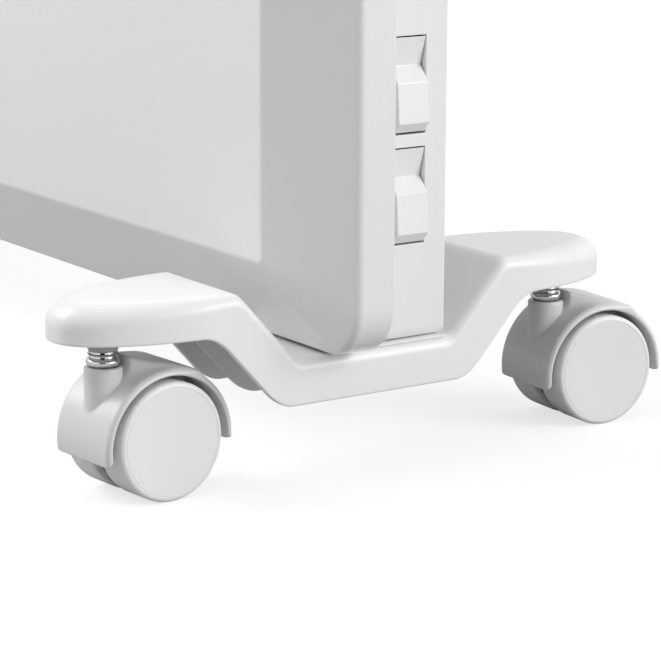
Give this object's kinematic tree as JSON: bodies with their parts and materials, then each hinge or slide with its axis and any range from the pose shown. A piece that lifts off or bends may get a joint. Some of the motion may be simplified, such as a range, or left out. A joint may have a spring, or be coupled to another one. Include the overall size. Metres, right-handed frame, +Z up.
{
  "type": "panel convector heater",
  "caption": "Flat electric panel convector with a bevelled front, side rocker switches, thermostat knob, slotted housing and moulded feet on hooded twin-wheel castors.",
  "frame": {"origin": "on the floor, in the middle of the whole object", "axes": "+Z up, the front panel faces -Y, the switches and knob are on the +X side"},
  "size_m": [0.64, 0.2434, 0.4575],
  "materials": {
    "panel_paint": "gloss white",
    "housing": "satin white",
    "back_sheet": "satin white",
    "element": "ribbed, satin",
    "bracket": "zinc plated",
    "ceramic": "unglazed",
    "brown_plastic": "moulded",
    "dark_plastic": "moulded",
    "wire": "woven sleeve",
    "rocker": "satin white",
    "steel": "plated",
    "knob": "satin white",
    "foot": "satin white",
    "socket": "grey",
    "chrome": "polished",
    "hood": "satin light grey",
    "wheel": "satin light grey"
  },
  "bodies": {
    "heater": {"front_panel": "panel_paint", "right_side_cover": "housing", "left_side_cover": "housing", "back_panel": "back_sheet", "top_grille": "housing", "bottom_grille": "housing", "heating_element": "element", "element_bracket_left": "bracket", "element_bracket_right": "bracket", "element_holder_left": "ceramic", "element_holder_right": "ceramic", "thermal_cutout": "brown_plastic", "terminal_block": "ceramic", "tilt_switch": "dark_plastic", "cable_gland": "dark_plastic", "wire_feed": "wire", "wire_cutout": "wire", "wire_return": "wire", "switch_body_lower": "dark_plastic", "switch_body_upper": "dark_plastic", "thermostat_body": "dark_plastic", "cover_screw_left_low": "steel", "cover_screw_left_high": "steel", "foot_left": "foot", "foot_screw_left_inner": "steel", "foot_screw_left_outer": "steel", "cover_screw_right_low": "steel", "cover_screw_right_high": "steel", "foot_right": "foot", "foot_screw_right_inner": "steel", "foot_screw_right_outer": "steel", "socket_front_right": "socket", "socket_rear_right": "socket", "socket_front_left": "socket", "socket_rear_left": "socket"},
    "castor_front_right": {"stem_front_right": "chrome", "hood_front_right": "hood", "axle_front_right": "steel"},
    "wheel_a_front_right": {"wheel_a_front_right": "wheel"},
    "wheel_b_front_right": {"wheel_b_front_right": "wheel"},
    "castor_rear_right": {"stem_rear_right": "chrome", "hood_rear_right": "hood", "axle_rear_right": "steel"},
    "wheel_a_rear_right": {"wheel_a_rear_right": "wheel"},
    "wheel_b_rear_right": {"wheel_b_rear_right": "wheel"},
    "castor_front_left": {"stem_front_left": "chrome", "hood_front_left": "hood", "axle_front_left": "steel"},
    "wheel_a_front_left": {"wheel_a_front_left": "wheel"},
    "wheel_b_front_left": {"wheel_b_front_left": "wheel"},
    "castor_rear_left": {"stem_rear_left": "chrome", "hood_rear_left": "hood", "axle_rear_left": "steel"},
    "wheel_a_rear_left": {"wheel_a_rear_left": "wheel"},
    "wheel_b_rear_left": {"wheel_b_rear_left": "wheel"},
    "rocker_lower": {"rocker_lower": "rocker"},
    "rocker_upper": {"rocker_upper": "rocker"},
    "knob": {"thermostat_knob": "knob", "thermostat_spindle": "steel"}
  },
  "joints": [
    {"name": "swivel_front_right", "type": "hinge", "parent": "heater", "child": "castor_front_right", "pos_m": [0.276, -0.10322, 0.05], "axis": [0, 0, 1], "continuous": true},
    {"name": "roll_a_front_right", "type": "hinge", "parent": "castor_front_right", "child": "wheel_a_front_right", "pos_m": [0.27482, -0.08786, 0.02], "axis": [0.9971, 0.0767, 0], "continuous": true},
    {"name": "roll_b_front_right", "type": "hinge", "parent": "castor_front_right", "child": "wheel_b_front_right", "pos_m": [0.27482, -0.08786, 0.02], "axis": [0.9971, 0.0767, 0], "continuous": true},
    {"name": "swivel_rear_right", "type": "hinge", "parent": "heater", "child": "castor_rear_right", "pos_m": [0.276, 0.07978, 0.05], "axis": [0, 0, 1], "continuous": true},
    {"name": "roll_a_rear_right", "type": "hinge", "parent": "castor_rear_right", "child": "wheel_a_rear_right", "pos_m": [0.27729, 0.09513, 0.02], "axis": [0.9965, -0.0837, 0], "continuous": true},
    {"name": "roll_b_rear_right", "type": "hinge", "parent": "castor_rear_right", "child": "wheel_b_rear_right", "pos_m": [0.27729, 0.09513, 0.02], "axis": [0.9965, -0.0837, 0], "continuous": true},
    {"name": "swivel_front_left", "type": "hinge", "parent": "heater", "child": "castor_front_left", "pos_m": [-0.276, -0.10322, 0.05], "axis": [0, 0, 1], "continuous": true},
    {"name": "roll_a_front_left", "type": "hinge", "parent": "castor_front_left", "child": "wheel_a_front_left", "pos_m": [-0.27718, -0.08786, 0.02], "axis": [0.9971, 0.0767, 0], "continuous": true},
    {"name": "roll_b_front_left", "type": "hinge", "parent": "castor_front_left", "child": "wheel_b_front_left", "pos_m": [-0.27718, -0.08786, 0.02], "axis": [0.9971, 0.0767, 0], "continuous": true},
    {"name": "swivel_rear_left", "type": "hinge", "parent": "heater", "child": "castor_rear_left", "pos_m": [-0.276, 0.07978, 0.05], "axis": [0, 0, 1], "continuous": true},
    {"name": "roll_a_rear_left", "type": "hinge", "parent": "castor_rear_left", "child": "wheel_a_rear_left", "pos_m": [-0.27471, 0.09513, 0.02], "axis": [0.9965, -0.0837, 0], "continuous": true},
    {"name": "roll_b_rear_left", "type": "hinge", "parent": "castor_rear_left", "child": "wheel_b_rear_left", "pos_m": [-0.27471, 0.09513, 0.02], "axis": [0.9965, -0.0837, 0], "continuous": true},
    {"name": "press_lower", "type": "hinge", "parent": "heater", "child": "rocker_lower", "pos_m": [0.2934, 0.00203, 0.0935], "axis": [0, 1, 0], "range_deg": [0, 10]},
    {"name": "press_upper", "type": "hinge", "parent": "heater", "child": "rocker_upper", "pos_m": [0.2934, 0.00203, 0.1307], "axis": [0, 1, 0], "range_deg": [0, 10]},
    {"name": "thermostat_turn", "type": "hinge", "parent": "heater", "child": "knob", "pos_m": [0.3, -0.00062, 0.1911], "axis": [1, 0, 0], "range_deg": [-270, 0]}
  ]
}
